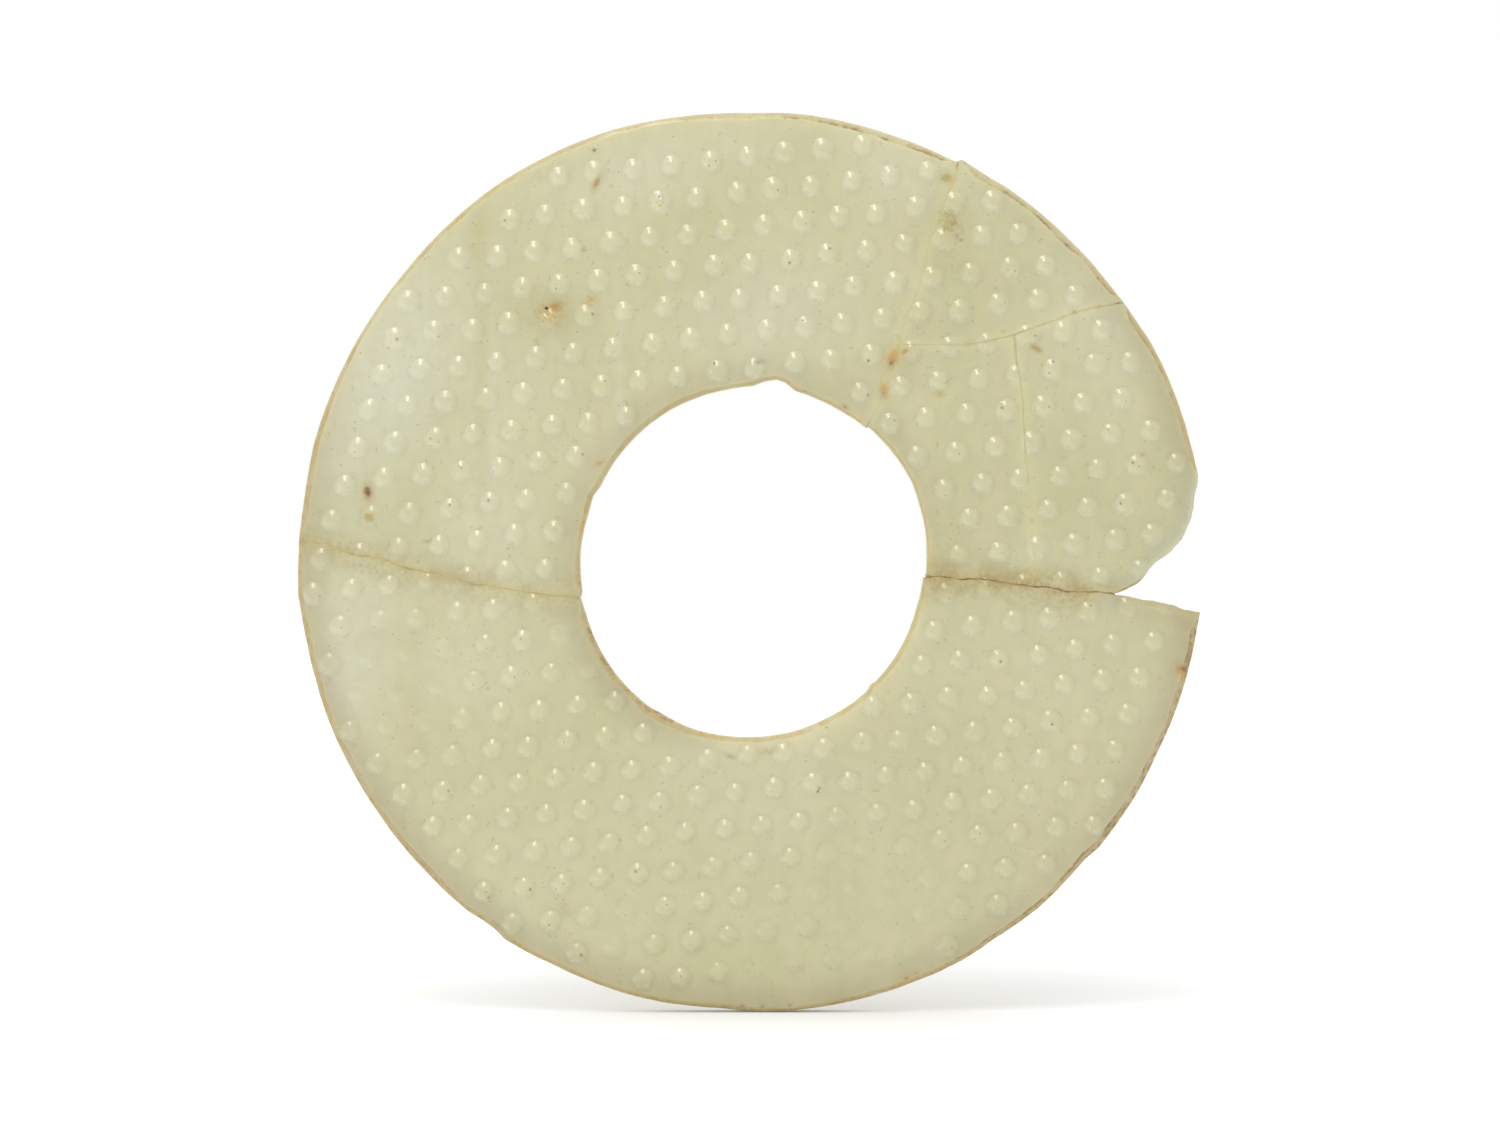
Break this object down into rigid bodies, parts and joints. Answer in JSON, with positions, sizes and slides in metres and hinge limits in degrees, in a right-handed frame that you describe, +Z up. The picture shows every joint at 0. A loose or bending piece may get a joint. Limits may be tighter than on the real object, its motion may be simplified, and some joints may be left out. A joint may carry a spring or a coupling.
{
  "type": "glass bi disc",
  "caption": "Flat ring-shaped disc with a round central hole and a raised grain pattern on its front, an ornament of milky green glass broken into fragments and rejoined.",
  "frame": {"origin": "below the disc's centre, level with the lowest point of its rim and halfway through its depth", "axes": "+Z up the face of the standing disc, +Y out of its plain back, -Y out of its grained front, +X to the right as seen from the front"},
  "size_m": [0.1171, 0.0042, 0.1169],
  "materials": {
    "milky_glass": "weathered gloss, milky and nearly opaque, with brown soil at the arrises",
    "old_adhesive": "aged brown adhesive and soil"
  },
  "bodies": {
    "root": {"glass_upper_left": "milky_glass", "glass_upper_right": "milky_glass", "glass_right_outer": "milky_glass", "glass_right_inner": "milky_glass", "glass_lower": "milky_glass", "adhesive_left_join": "old_adhesive", "adhesive_right_join": "old_adhesive", "adhesive_top_crack": "old_adhesive", "adhesive_side_crack": "old_adhesive", "adhesive_branch_crack": "old_adhesive"}
  },
  "joints": []
}
